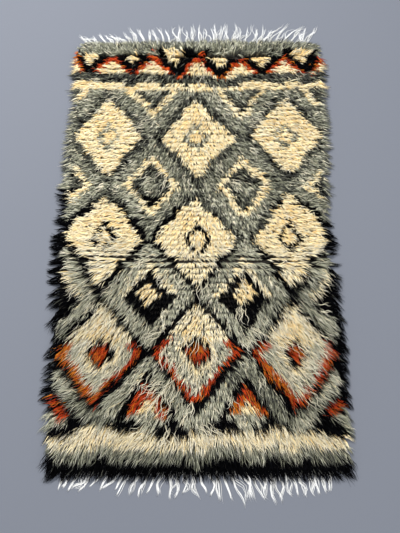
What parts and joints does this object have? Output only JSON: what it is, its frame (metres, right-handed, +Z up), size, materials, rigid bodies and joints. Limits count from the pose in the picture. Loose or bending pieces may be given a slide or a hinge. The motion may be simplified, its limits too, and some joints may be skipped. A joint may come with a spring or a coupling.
{
  "type": "hand-knotted pile rug",
  "caption": "Rectangular hand-knotted wool shag rug lying flat, with long combed pile, shaggy selvedges and a loose warp fringe at both ends.",
  "frame": {"origin": "on the floor under the middle of the whole rug, fringe and edge locks included", "axes": "+X across the rug to its right selvedge, +Y along it to the far end that the pile leans away from, +Z up from the floor"},
  "size_m": [1.0556, 1.7922, 0.0365],
  "materials": {
    "wool_grey": "long wool pile, sage grey",
    "wool_dark_grey": "long wool pile, dark grey",
    "wool_ivory": "long wool pile, undyed ivory",
    "wool_black": "long wool pile, blue black",
    "wool_rust": "long wool pile, rust orange",
    "ground_weave": "plain woven wool ground",
    "warp_cotton": "loosely twisted warp ends, bleached white"
  },
  "bodies": {
    "root": {"knotted_pile": "wool_grey", "fringe_near": "warp_cotton", "fringe_far": "warp_cotton"}
  },
  "joints": []
}
